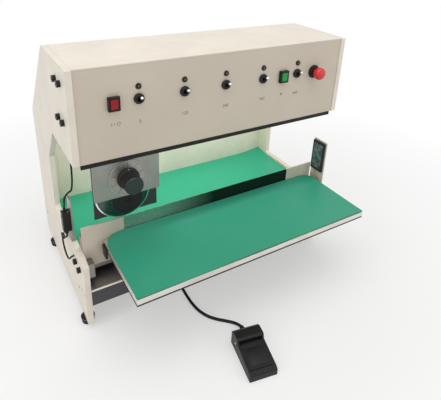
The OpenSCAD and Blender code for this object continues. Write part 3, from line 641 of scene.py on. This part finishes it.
def reflector_finish():
    """Blue-grey prism cells under a clear face."""
    made = bpy.data.materials.new("reflector_prisms")
    made.use_nodes = True
    tree = made.node_tree
    principled = tree.nodes["Principled BSDF"]
    place = node(tree, "ShaderNodeTexCoord").outputs["Object"]
    cells = node(tree, "ShaderNodeTexVoronoi", {"Vector": place, "Scale": 320.0,
        "Randomness": 0.25})
    shade = node(tree, "ShaderNodeTexVoronoi", {"Vector": place, "Scale": 90.0})
    tone = ranged(tree, shade.outputs["Distance"], 0.0, 0.8)
    tree.links.new(blended(tree, tone, (0.16, 0.21, 0.23, 1), (0.045, 0.06, 0.07, 1)),
        principled.inputs["Base Color"])
    bump = node(tree, "ShaderNodeBump", {"Strength": 0.8, "Distance": 0.001,
        "Height": cells.outputs["Distance"]})
    tree.links.new(bump.outputs["Normal"], principled.inputs["Normal"])
    principled.inputs["Roughness"].default_value = 0.25
    principled.inputs["Coat Weight"].default_value = 0.5
    return made


reflector_cells = reflector_finish()

CAD_FINISHES = {
    cream_paint: "left_side_plate right_side_plate head_top_cover rear_panel throat_back_panel",
    darker_cream_paint: "head_front_panel left_blade_guard right_blade_guard right_sensor_bracket",
    beam_steel: "blade_beam",
    dark_paint: "tray_brackets front_beam guide_beam top_tie_bar screw_bearings"
        " blade_cover",
    gear_paint: "drive_motor",
    lower_blade_steel: "lower_blade",
    blade_steel_painted_reflection: "round_blade",
    rail_steel: "guide_rails slide_blocks lead_screw",
    bracket_steel: "left_sensor_bracket base_shelf",
    grey_plate: "carriage_plate",
    dial_silver: "height_dial",
    tray_metal: "front_tray rear_table power_supply",
    black_oxide: "side_screws arbor_block blade_arbor",
    mat_rear_painted_light: "rear_mat",
    mat_front: "tray_mat",
    black_rubber: "rubber_feet skirt_strip pedal_gland",
    cord_rubber: "sensor_cable pedal_cord pedal_cord_coil",
    black_plastic: "button_bezels lamp_bezels toggle_bodies estop_collar height_knob pedal_base"
        " pedal_treadle mains_inlet",
    sensor_plastic: "light_sensor sensor_reflector",
    chrome: "toggle_lever_1 toggle_lever_2 toggle_lever_3 toggle_lever_4 toggle_lever_5",
    red_plastic: "power_button",
    green_plastic: "start_button",
    stop_red: "estop_button",
    brass: "screw_nut",
    board_lacquer: "control_board",
}


def wear(piece, material):
    """Gives a piece one finish all over."""
    piece.data.materials.clear()
    piece.data.materials.append(material)
    return piece


def dress_cad_nodes():
    """Gives every carried-over node its finish."""
    for material, names in CAD_FINISHES.items():
        for name in names.split():
            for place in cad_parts[name].material_slots:
                place.material = material


dress_cad_nodes()


def ready(piece, material, body):
    """Finish, body and material slot of one piece."""
    wear(piece, material)
    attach(piece, body)
    return piece


def to_pedal(piece):
    """Moves a piece made in the pedal's own millimetres to where the pedal lies."""
    piece.data.transform(Matrix.Translation(at(264, -276, FLOOR))
        @ Matrix.Rotation(math.radians(-11), 4, "Z") @ Matrix.Translation(-ZERO))
    return piece


# ------------------------------------------------------------------ cords
CORD_D = 7
FLOOR = -14
GROUND = FLOOR + CORD_D / 2 + 0.1
UPPER = GROUND + CORD_D + 0.1
COIL_CENTRE = (274, 205)
FRONT_RUN = [(284.3, -170.3, 2), (287, -158, -1), (287, -146, -6), (282, -134, -9.5),
    (271, -122, GROUND), (256, -108, GROUND), (242, -90, GROUND), (233, -68, GROUND),
    (229, -42, GROUND), (229, -12, GROUND), (231, 25, GROUND), (232, 65, GROUND),
    (232, 110, GROUND), (232, 155, GROUND), (232, 180, GROUND), (232, 205, GROUND)]
REAR_RUN = [(232, 205, UPPER), (232, 225, UPPER), (232, 240, -3.6), (232, 260, -6.5),
    (232, 280, -9.8), (232, 305, GROUND), (232, 345, GROUND), (232, 385, GROUND),
    (232, 420, GROUND), (232, 442, -8), (232, 460, -1), (232, 472, 12), (232, 476, 28),
    (232, 468, 42), (232, 452, 49), (232, 434, 50)]
# Radius and height of the coil after each number of turns: it winds in, climbs and winds out
COIL_STEPS = [(0, 42, GROUND), (0.75, 42, GROUND), (1, 35, GROUND), (1.75, 35, GROUND),
    (2, 28, GROUND), (2.5, 28, GROUND), (2.75, 31.5, UPPER), (3.5, 31.5, UPPER),
    (3.75, 38.5, UPPER), (4, 42, UPPER)]
LEAD_DROP = [(20, 120, 393), (20, 121, 374), (21, 123, 350), (22, 126, 320), (21, 127, 290),
    (17, 124, 272), (8, 118, 270), (-1, 112, 264), (-4, 108, 250), (-5, 107, 242),
    (-5, 107, 234)]
LEAD_LOOP = [(-5, 107, 178), (-5, 107, 172), (-6, 112, 164), (-8, 123, 160), (-9, 134, 153),
    (-9.5, 140, 142), (-9.5, 137, 130), (-9.5, 127, 120), (-9.5, 112, 115), (-9, 98, 117),
    (-8, 89, 123), (-5, 84.5, 129.5), (4, 84, 132)]


def coil_points(per_turn=28):
    """The coil's turns, laid clockwise from the cord's arrival on its left."""
    points = []
    for i in range(1, 4 * per_turn):
        turn = i / per_turn
        after = next(k for k, step in enumerate(COIL_STEPS) if step[0] > turn)
        (t0, r0, z0), (t1, r1, z1) = COIL_STEPS[after - 1], COIL_STEPS[after]
        share = (turn - t0) / (t1 - t0)
        share = share * share * (3 - 2 * share)
        radius, angle = r0 + (r1 - r0) * share, math.pi - 2 * math.pi * turn
        points.append(Vector((COIL_CENTRE[0] + radius * math.cos(angle),
            COIL_CENTRE[1] + radius * math.sin(angle), z0 + (z1 - z0) * share)))
    return points


def add_pedal_cord():
    """One cord from the pedal to the gland at the back, its spare length in a coil."""
    points = through(FRONT_RUN) + coil_points() + through(REAR_RUN)
    cord = tube("pedal_cord_run", points, CORD_D, around=14)
    ready(cord, cord_rubber, "frame")
    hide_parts("pedal_cord", "pedal_cord_coil")
    boot = turned("pedal_cord_boot", (0, 108, 16), "back", [(-1, 3.6), (-1, 6), (2, 5.8), (3, 5),
        (4.5, 5.4), (5.5, 4.7), (7, 5), (8, 4.3), (10, 4.2), (10, 3.6)], 24, (False, False))
    ready(to_pedal(boot), black_rubber, "frame")


def add_sensor_lead():
    """The thin lead from the head to the light sensor, and its loop into the side plate."""
    runs = [meshed(tube("lead_run", through(route, 8), 4, around=12))
        for route in (LEAD_DROP, LEAD_LOOP)]
    lead = smooth(joined("sensor_lead", runs), 60)
    ready(lead, cord_rubber, "frame")
    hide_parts("sensor_cable")
    tie = block("lead_tie", (-11.9, 129, 147), (-5.4, 141, 158), 1.6, 3)
    nip = block("lead_tie_tail", (-10.4, 140, 150), (-7.4, 150, 152.4), 0.6)
    ready(joined("lead_tie", [tie, nip]), black_plastic, "frame")
    boot = turned("lead_boot", (SENSOR_X, SENSOR_Y, 234), "up", [(-1, 3.6), (1, 3.8), (2, 3), (3.5, 3.4),
        (4.5, 2.7), (6, 3), (7, 2.4), (9, 2.3), (9, 1.9)], 20, (True, False))
    ready(boot, black_rubber, "frame")
    clip = block("lead_clip", (13, 110, 385), (29, 130, 393), 1.5)
    ready(clip, cream_paint, "frame")


# ------------------------------------------------------------------ mats
def soft_mat(name, corner, far_corner, thick, shape):
    """A rubber mat from corner to far_corner, with shape giving each point's new place."""
    (x0, y0, top), (x1, y1, _) = corner, far_corner
    deselect()
    bpy.ops.mesh.primitive_grid_add(x_subdivisions=96, y_subdivisions=40, size=1,
        location=at((x0 + x1) / 2, (y0 + y1) / 2, top))
    mat = bpy.context.object
    mat.scale = ((x1 - x0) * MM, (y1 - y0) * MM, 1)
    settle(mat)
    mat.name = name
    for point in mat.data.vertices:
        x, y, z = (point.co - ZERO) / MM
        point.co = at(*shape(x, y, z))
    apply_modifier(mat, "SOLIDIFY", thickness=thick * MM, offset=-1, use_rim=True)
    return smooth(mat, 50)


def front_mat_shape(x, y, z, curl_start=12, curl_rise=7.5, corner_radius=34):
    """Flat on the tray, curled up at the back with round corners, its front edge wavy."""
    low, high = node_mm("tray_mat")
    near = min(x - low.x, high.x - x)
    back = max(0, (y - curl_start) / (high.y - curl_start))
    curl = curl_rise * back * back * (3 - 2 * back) * min(1, 0.35 + near / 60)
    corner = 0
    if near < corner_radius:
        inset = corner_radius - near
        round_off = corner_radius - math.sqrt(max(0, corner_radius ** 2 - inset ** 2))
        corner = round_off * back * 0.75
    edge = max(0, 1 - (y - low.y) / 22)
    wave = 0.7 * math.sin(x / 41) * edge ** 2 + 0.35 * math.sin(x / 97 + y / 60)
    return x, y - corner, z + curl + wave + 0.35


def rear_mat_shape(x, y, z, lift_rise=8, lift_reach=85):
    """Flat on the rear table, its right rear corner lifting a little."""
    low, high = node_mm("rear_mat")
    lift = max(0, 1 - math.hypot(high.x - x, high.y - y) / lift_reach)
    return x, y, z + 0.2 * math.sin(x / 83 + y / 47) + lift_rise * lift ** 2


def add_mats():
    """The front and the rear mat: name, node, what it lies on, look, shape, top and thickness."""
    for name, cad_node, table, look, shape, above, thick in (
            ("front_mat", "tray_mat", "front_tray", mat_front, front_mat_shape, 3.4, 2.6),
            ("back_mat", "rear_mat", "rear_table", mat_rear_painted_light, rear_mat_shape, 3.8, 3.4)):
        low, high = node_mm(cad_node)
        top = node_mm(table)[1].z + above
        mat = soft_mat(name, (low.x, low.y, top), (high.x, high.y, top), thick, shape)
        ready(mat, look, "frame")
        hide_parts(cad_node)


# ------------------------------------------------------------------ screws and trims
def screw_at(name, place, facing, head=7.0, tall=2.4):
    """A button-head screw with a round-bottomed socket, its head standing on the face."""
    r = head / 2
    return turned(name, place, facing, [(-0.5, r), (tall * 0.35, r), (tall * 0.75, r * 0.86),
        (tall, r * 0.6), (tall, r * 0.42), (tall * 0.35, r * 0.38)], 20)


def flush_screw_at(name, place, facing, head=8.0):
    """A countersunk screw, its rim a hair above the sheet."""
    r = head / 2
    return turned(name, place, facing, [(-0.6, r * 0.9), (0.15, r), (0.25, r * 0.92),
        (0.2, r * 0.45), (-0.5, r * 0.4)], 20)


def add_screws():
    """Screws of the top cover, the rear panel, the sensor brackets and the left plate."""
    cover = [flush_screw_at("cover_screw", (x, y, 574.7), "up") for x in (21, 629)
        for y in (50, 168)]
    ready(joined("cover_screws", cover), black_oxide, "frame")
    low, high = node_mm("rear_panel")
    rear = [screw_at("rear_screw", (x, high.y, z), "back")
        for x in (low.x + 10, 220, 430, high.x - 10) for z in (low.z + 10, high.z - 10)]
    ready(joined("rear_panel_screws", rear), screw_zinc, "frame")
    bracket = [screw_at("bracket_screw", place, facing, head, tall)
        for place, facing, head, tall in (
            ((653, 18, 153), "right", 7, 2), ((653, 44, 153), "right", 7, 2),
            ((650, 31, 200), "left", 5, 1.4), ((8, SENSOR_Y, 182), "right", 6, 2),
            ((8, SENSOR_Y, 250), "right", 6, 2), ((6, 130, 164), "up", 6, 2),
            ((21, 110, 389), "front", 5, 1.6))]
    ready(joined("bracket_screws", bracket), screw_zinc, "frame")
    small = [flush_screw_at("plate_screw", (0, y, 62), "left", 6) for y in (60, 380)]
    ready(joined("plate_screws", small), black_oxide, "frame")


def tray_strip(name, z0, z1, out, inward, rear, edge):
    """A strip round the tray's front and both ends, standing out and in of its faces."""
    low, high = node_mm("front_tray")
    strips = [block(name, (low.x, low.y - out, z0), (high.x, low.y + inward, z1), edge)]
    for x0, x1 in ((low.x - out, low.x + inward), (high.x - inward, high.x + out)):
        strips.append(block(name, (x0, low.y, z0), (x1, rear, z1), edge))
    return joined(name, strips)


def add_trims():
    """Black lip below the tray, bare metal rim above, lugs at its ends, lip of the shelf."""
    low, high = node_mm("front_tray")
    lip = tray_strip("tray_lip", low.z - 2.4, low.z + 0.8, 0.6, 3, high.y - 12, 0.6)
    ready(lip, black_rubber, "frame")
    rim = tray_strip("tray_rim", high.z - 1.6, high.z + 0.2, 0.5, 0.6, high.y, 0.4)
    ready(rim, tray_metal, "frame")
    lugs = [block("lug", (x0, 18, 148), (x1, 40, 175), 1.2)
        for x0, x1 in ((low.x - 5, low.x + 1), (high.x - 1, high.x + 3))]
    ready(joined("tray_lugs", lugs), black_oxide, "frame")
    low, high = node_mm("base_shelf")
    edge = block("shelf_lip", (low.x, 5, low.z - 0.5), (high.x, 8.6, high.z + 1), 0.6)
    ready(edge, tray_metal, "frame")


# ------------------------------------------------------------------ panel
def key_cap(name, x, material, body, cad_node):
    """A push key with round edges and a shallow dish in its face."""
    cap = block(name, (x - 7, KEY_FRONT, KEY_Z - 9.5), (x + 7, 19, KEY_Z + 9.5), 1.0, 3)
    only(cap)
    bpy.ops.object.mode_set(mode="EDIT")
    front = at(0, KEY_FRONT, 0).y + 1e-5
    select_faces(cap, lambda centre, normal: normal.y < -0.99 and centre.y < front)
    bpy.ops.mesh.inset(thickness=1.2 * MM)
    bpy.ops.transform.translate(value=(0, 0.5 * MM, 0))
    bpy.ops.object.mode_set(mode="OBJECT")
    ready(smooth(cap), material, body)
    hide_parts(cad_node)


def add_keys():
    key_cap("power_key_cap", POWER_X, red_plastic, "power_key", "power_button")
    key_cap("start_key_cap", START_X, green_plastic, "start_key", "start_button")


def add_bezel_frames():
    """A stepped frame round each push key, over the plain bezel."""
    for name, x in (("power_frame", POWER_X), ("start_frame", START_X)):
        bars = [block("bar", (x - 11, -6, z), (x + 11, -4.6, z + 3), 0.6)
            for z in (KEY_Z - 13.5, KEY_Z + 10.5)]
        bars += [block("bar", (x + side, -6, KEY_Z - 13.5), (x + side + 3, -4.6, KEY_Z + 13.5), 0.6)
            for side in (-11, 8)]
        ready(joined(name, bars), black_plastic, "frame")


def add_toggle_collars():
    """A nut and a stepped collar at the foot of each toggle lever."""
    collars, nuts = [], []
    for x in TOGGLES:
        collars.append(turned("collar", (x, PANEL_Y - 4, TOGGLE_Z), "front", [(-0.4, 6.4), (0.9, 6.4),
            (1.3, 6.0), (1.4, 5.2), (-1.5, 5.0)], 32, (False, False)))
        nuts.append(turned("nut", (x, PANEL_Y, TOGGLE_Z), "front", [(0, 9.2), (0, 10.6), (3.0, 10.6),
            (4.1, 9.6), (4.2, 6.6), (3.4, 6.3)], 12, (False, False)))
    ready(joined("toggle_collars", collars), black_oxide, "frame")
    ready(joined("toggle_nuts", nuts), black_oxide, "frame")


def add_levers():
    """Bat-shaped chrome levers over the plain ones: slim at the neck, round at the tip."""
    for i, x in enumerate(TOGGLES):
        bat = turned(f"lever_bat_{i + 1}", (0, 0, 0), "up", [(-3.4, 0.6), (-2.6, 2.2), (-1, 3.3),
            (0.8, 3.4), (2.2, 2.4), (3.4, 1.7), (8, 1.9), (13, 2.4), (17, 2.8), (19.5, 3.0),
            (21.2, 2.6), (22.2, 1.6), (22.5, 0.3)], 24)
        turn = Matrix.Translation(at(x, PANEL_Y + 2, TOGGLE_Z)) @ Matrix.Rotation(
            math.radians(72), 4, "X") @ Matrix.Translation(-ZERO)
        bat.data.transform(turn)
        ready(bat, chrome, f"toggle_{i + 1}")
        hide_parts(f"toggle_lever_{i + 1}")


def add_lamp_lenses():
    """A domed lens in each lamp bezel."""
    lenses = [turned("lens", (x, 0, LAMP_Z), "front", [(-2, 2.9), (0.4, 2.9), (1.3, 2.4),
        (1.8, 1.5), (2.0, 0.5), (2.0, 0)], 24) for x in TOGGLES]
    ready(joined("lamp_lenses", lenses), lamp_red, "frame")


def add_stop_button():
    """The red mushroom head and the ring round its collar."""
    head = turned("stop_mushroom", (STOP_X, PANEL_Y, KEY_Z), "front", [(-22, 7), (13, 7), (14.2, 11.2),
        (15.2, 12.6), (16.5, 13.6), (18, 14), (22.5, 14), (24.5, 13.8), (26.5, 13), (28.3, 11.8),
        (29.6, 10.2), (30.7, 8), (31.5, 5), (31.9, 2.5), (32, 0)], 56)
    ready(head, stop_red, "estop")
    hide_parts("estop_button")
    ring = turned("stop_collar_ring", (STOP_X, PANEL_Y, KEY_Z), "front", [(0, 15), (0.2, 15.6),
        (1.6, 15.6), (2.2, 14.8), (2.2, 13.2)], 48, (False, False))
    ready(ring, black_plastic, "frame")


def add_labels():
    """Plain scale numbers under the toggles, and signs for power and start."""
    words = [lettering("number", text, (x + 1.5, PANEL_Y - 0.05, LABEL_Z), "front", 7)
        for x, text in zip(TOGGLES, ("0", "120", "240", "360", "460"))]
    words.append(lettering("number", "I / O", (POWER_X + 3, PANEL_Y - 0.05, LABEL_Z + 3), "front", 7))
    deselect()
    bpy.ops.mesh.primitive_circle_add(vertices=3, radius=4.5 * MM, fill_type="NGON")
    sign = bpy.context.object
    sign.rotation_euler = (math.pi / 2, math.pi / 2, 0)
    sign.location = at(START_X, PANEL_Y - 0.1, LABEL_Z + 3)
    settle(sign)
    apply_modifier(sign, "SOLIDIFY", thickness=0.2 * MM, offset=0)
    words.append(sign)
    ready(joined("panel_marks", words), label_ink, "frame")


# ------------------------------------------------------------------ carriage
def dial_tick(width, inner):
    """A tick at the top of the dial, from the inner radius out to its rim."""
    return block("tick", (CARRIAGE_X - width / 2, 9.25, DIAL_Z + inner),
        (CARRIAGE_X + width / 2, 9.7, DIAL_Z + 37.6), 0)


def add_dial_marks():
    """Forty ticks, every fourth one longer, ten numbers and a rim."""
    marks = []
    tick, long_tick = dial_tick(0.5, 34.2), dial_tick(0.8, 32)
    for i in range(40):
        first = long_tick if i % 4 == 0 else tick
        marks.append(round_dial(first, f"tick_{i}", 9 * i))
    for i in range(10):
        number = lettering("number", str(i), (CARRIAGE_X, 9.4, DIAL_Z + 28.2), "front", 4.2, 0.12)
        marks.append(round_dial(number, f"number_{i}", 36 * i))
        bpy.data.objects.remove(number)
    bpy.data.objects.remove(tick)
    bpy.data.objects.remove(long_tick)
    ready(joined("dial_marks", marks), dial_ink, "carriage")
    rim = turned("dial_rim", (CARRIAGE_X, 12, DIAL_Z), "front", [(0, 39.4), (2.3, 39.4), (2.8, 39),
        (2.8, 38.3), (2.45, 38)], 72, (False, False))
    ready(rim, bracket_steel, "carriage")


def add_knob_cap():
    """The knob's end cap, the ring round it and the white line on its skirt."""
    end = (CARRIAGE_X, -27, DIAL_Z)
    cap = turned("knob_cap", end, "front", [(-0.6, 17.2), (0.2, 17.2), (0.7, 16.8),
        (0.8, 16.2), (0.35, 15.6), (0.3, 8), (0.3, 0)], 56)
    ready(cap, knob_face, "knob")
    ring = turned("knob_ring", end, "front", [(-1.6, 18.9), (-0.4, 18.4), (0.1, 17.8),
        (0.1, 17.1)], 56, (False, False))
    ready(ring, knob_face, "knob")
    line = block("pointer", (CARRIAGE_X - 0.5, 3.6, DIAL_Z + 19.4),
        (CARRIAGE_X + 0.5, 5.1, DIAL_Z + 22.8), 0.2)
    ready(line, pointer_white, "knob")


def add_blade():
    """The round blade: a turned disc, its sides relieved and its edge ground bright."""
    blade = turned("cutting_disc", (CARRIAGE_X, 45.5, BLADE_Z), "back", [(0, 6), (0, 50.5),
        (0.25, 51), (0.25, 57.4), (1.3, 60), (1.7, 60), (2.75, 57.4), (2.75, 51), (3, 50.5),
        (3, 6), (0, 6)], 128, (False, False))
    ready(blade, blade_steel_painted_reflection, "blade")
    blade.data.materials.append(edge_steel)
    middle = at(CARRIAGE_X, 47, BLADE_Z)
    for face in blade.data.polygons:
        if (face.center - middle).length > 57.5 * MM:
            face.material_index = 1
    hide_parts("round_blade")
    screws = [screw_at("hub_screw", (CARRIAGE_X + 22 * math.cos(angle), 18.4,
        BLADE_Z + 22 * math.sin(angle)), "front", 6, 0.3)
        for angle in (math.radians(225), math.radians(315))]
    ready(joined("hub_screws", screws), black_oxide, "blade_head")


def add_carriage_screws():
    """Screws into the slide blocks, and those of the blade cover."""
    heads = [flush_screw_at("slide_screw", (x, 12, z), "front", 7) for x in (54, 78, 130, 154)
        for z in (408, 446)]
    heads += [screw_at("cover_screw", (x, 62, 232), "back", 6, 1.6) for x in (60, 170)]
    ready(joined("carriage_screws", heads), black_oxide, "carriage")


def add_thread(first_x=100, length=500, lead=25, radius=5.9, per_turn=32):
    """Two thread starts wound round the lead screw."""
    starts = []
    steps = length // lead * per_turn
    for start in range(2):
        points = []
        for k in range(steps + 1):
            angle = 2 * math.pi * k / per_turn + math.pi * start
            points.append((first_x + length * k / steps, SCREW_Y + radius * math.cos(angle),
                SCREW_Z + radius * math.sin(angle)))
        starts.append(meshed(tube("thread", points, 0.8, around=6)))
    ready(smooth(joined("screw_thread", starts), 60), rail_steel, "screw")


# ------------------------------------------------------------------ sensor, inlet, pedal
def add_sensor_details():
    """Ribs, lens and lamp of the light sensor, and the prism cells of its reflector."""
    ribs = [block("rib", (-11.6, y, z), (4.4, y + 1.3, z + 2.4), 0.4)
        for y in (98.1, 114.6) for z in range(190, 230, 5)]
    ready(joined("sensor_ribs", ribs), sensor_plastic, "frame")
    lens = turned("sensor_lens", (5, SENSOR_Y, 224), "right", [(-0.5, 4), (0.4, 4), (0.9, 3.2),
        (1.1, 1.6), (1.15, 0)], 28)
    ready(lens, lamp_red, "frame")
    lamp = turned("sensor_lamp", (1, 102, 234), "up", [(-0.5, 1.3), (0.5, 1.3), (1, 0.8),
        (1.15, 0)], 16)
    ready(lamp, lamp_amber, "frame")
    cells = block("reflector_cells", (644.1, 15.2, 212.2), (645.2, 46.8, 282.8), 0.2)
    ready(cells, reflector_cells, "frame")


def add_inlet_pins():
    """Three pins in the mains inlet, and a screw at each side of it."""
    pins = [block("pin", (x - 1, 390, z - 2), (x + 1, 405, z + 2), 0.4)
        for x, z in ((567, 72), (574, 77), (581, 72))]
    ready(joined("inlet_pins", pins), brass, "frame")
    screws = [screw_at("inlet_screw", (x, 407, 74), "back", 5.5, 1.6) for x in (554, 594)]
    ready(joined("inlet_screws", screws), screw_zinc, "frame")


def add_pedal_details():
    """A border and a low pad on the sloping treadle, and the ends of its pin."""
    bars = [block("bar", (-22, y, -0.9), (22, y + 1.6, 0.7), 0.4) for y in (14, 58)]
    bars += [block("bar", (x, 14, -0.9), (x + 1.6, 59.6, 0.7), 0.4) for x in (-22, 20.4)]
    bars.append(block("pad", (-18.5, 18, -0.9), (18.5, 55.6, 0.35), 0.35))
    border = joined("treadle_frame", bars)
    for point in border.data.vertices:
        along = (point.co.y - ZERO.y) / MM
        point.co.z += (19.5 + (along - 11) * 6 / 55) * MM
    ready(to_pedal(border), black_plastic, "treadle")
    ends = [turned("pin_end", (x, 78, 20), facing, [(-0.5, 2.6), (0.3, 2.6), (0.6, 2)], 20)
        for x, facing in ((-30, "left"), (30, "right"))]
    ready(to_pedal(joined("pedal_pin_ends", ends)), screw_zinc, "frame")


def add_feet():
    """A washer between each foot and its side plate."""
    washers = [turned("washer", (x, y, -0.3), "down", [(-0.2, 14.9), (0.8, 14.9), (1, 14.6),
        (1, 13.5)], 40, (False, False)) for x in (6, 644) for y in (34, 332)]
    ready(joined("foot_washers", washers), screw_zinc, "frame")


for build in (add_pedal_cord, add_sensor_lead, add_mats, add_screws, add_trims, add_keys,
        add_bezel_frames, add_toggle_collars, add_levers, add_lamp_lenses, add_stop_button,
        add_labels, add_dial_marks, add_knob_cap, add_blade, add_carriage_screws, add_thread,
        add_sensor_details, add_inlet_pins, add_pedal_details, add_feet):
    build()

add_studio()
